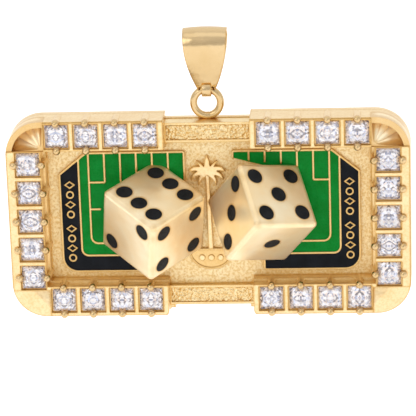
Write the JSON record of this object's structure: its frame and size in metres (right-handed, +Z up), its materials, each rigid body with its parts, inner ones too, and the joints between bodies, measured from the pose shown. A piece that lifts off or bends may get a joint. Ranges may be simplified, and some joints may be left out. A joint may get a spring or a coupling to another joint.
{
  "type": "craps table pendant",
  "caption": "Gold pendant shaped as a craps table, with a stone-set raised border, enamel layout, two dice, and a tapered bail on a soldered ring.",
  "frame": {"origin": "the chain line: the middle of the rounded upper part of the bail's opening, where a chain runs through", "axes": "+X along the chain, to the right as seen from the front; +Y from the decorated face towards the flat back; +Z up as the pendant hangs"},
  "size_m": [0.052, 0.0136, 0.0375],
  "materials": {
    "gold_polished": "mirror polished yellow gold",
    "gold_cast": "polished cast yellow gold",
    "gold_sandblasted": "fine sandblasted yellow gold",
    "gold_hammered": "fine hammered texture in a sunk band",
    "stone": "clear faceted stone",
    "green_enamel": "glossy green enamel",
    "black_enamel": "glossy black enamel"
  },
  "bodies": {
    "bail": {"bail_shell": "gold_polished"},
    "loop": {"bail_loop": "gold_polished"},
    "pendant": {"back_plate": "gold_cast", "band_marks_left": "gold_cast", "band_marks_right": "gold_cast", "black_enamel_left": "black_enamel", "black_enamel_right": "black_enamel", "bottom_mid_rail": "gold_hammered", "cartouche": "gold_cast", "green_enamel_left": "green_enamel", "green_enamel_right": "green_enamel", "hanging_ring": "gold_polished", "layout_wires_left": "gold_cast", "layout_wires_right": "gold_cast", "left_corner_cap": "gold_cast", "left_die": "gold_polished", "left_die_pips": "black_enamel", "left_end_frame": "gold_cast", "left_scooped_corner": "gold_cast", "palm_tree": "gold_cast", "prongs_bottom_left": "gold_cast", "prongs_bottom_right": "gold_cast", "prongs_side_left": "gold_cast", "prongs_side_right": "gold_cast", "prongs_top_left": "gold_cast", "prongs_top_right": "gold_cast", "right_corner_cap": "gold_cast", "right_die": "gold_polished", "right_die_pips": "black_enamel", "right_end_frame": "gold_cast", "right_scooped_corner": "gold_cast", "stone_bottom_left_1": "stone", "stone_bottom_left_2": "stone", "stone_bottom_left_3": "stone", "stone_bottom_left_4": "stone", "stone_bottom_right_1": "stone", "stone_bottom_right_2": "stone", "stone_bottom_right_3": "stone", "stone_bottom_right_4": "stone", "stone_side_left_1": "stone", "stone_side_left_2": "stone", "stone_side_left_3": "stone", "stone_side_left_4": "stone", "stone_side_left_5": "stone", "stone_side_right_1": "stone", "stone_side_right_2": "stone", "stone_side_right_3": "stone", "stone_side_right_4": "stone", "stone_side_right_5": "stone", "stone_top_left_1": "stone", "stone_top_left_2": "stone", "stone_top_left_3": "stone", "stone_top_left_4": "stone", "stone_top_right_1": "stone", "stone_top_right_2": "stone", "stone_top_right_3": "stone", "stone_top_right_4": "stone", "table_bed": "gold_sandblasted", "top_mid_rail": "gold_hammered"}
  },
  "joints": [
    {"name": "front_back_swing", "type": "hinge", "parent": "bail", "child": "loop", "pos_m": [0, 0, -0.00595], "axis": [1, 0, 0], "range_deg": [-80, 80]},
    {"name": "side_swing", "type": "hinge", "parent": "loop", "child": "pendant", "pos_m": [0, 0, -0.00767], "axis": [0, 1, 0], "range_deg": [-50, 50]}
  ]
}
